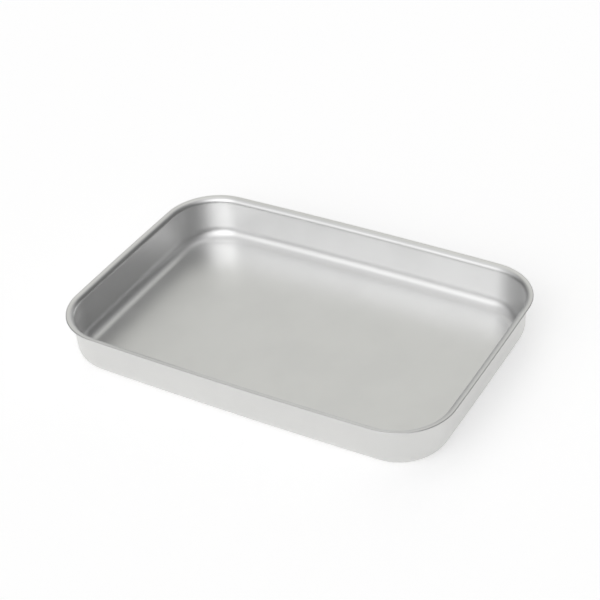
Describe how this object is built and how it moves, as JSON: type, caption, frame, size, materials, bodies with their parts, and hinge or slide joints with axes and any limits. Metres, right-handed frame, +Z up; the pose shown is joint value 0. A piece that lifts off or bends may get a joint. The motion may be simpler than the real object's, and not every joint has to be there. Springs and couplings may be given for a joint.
{
  "type": "baking tray",
  "caption": "Rectangular pressed aluminium tray with a flat floor, rounded corners and an outward flared rim, for baking or carrying food.",
  "frame": {"origin": "middle of the underside of the floor, on the surface the tray stands on", "axes": "+X along the tray, +Y across it, +Z up"},
  "size_m": [0.315, 0.215, 0.037],
  "materials": {
    "aluminium": "satin, as pressed, with the cut edge of the rim smoothed"
  },
  "bodies": {
    "root": {"tray": "aluminium"}
  },
  "joints": []
}
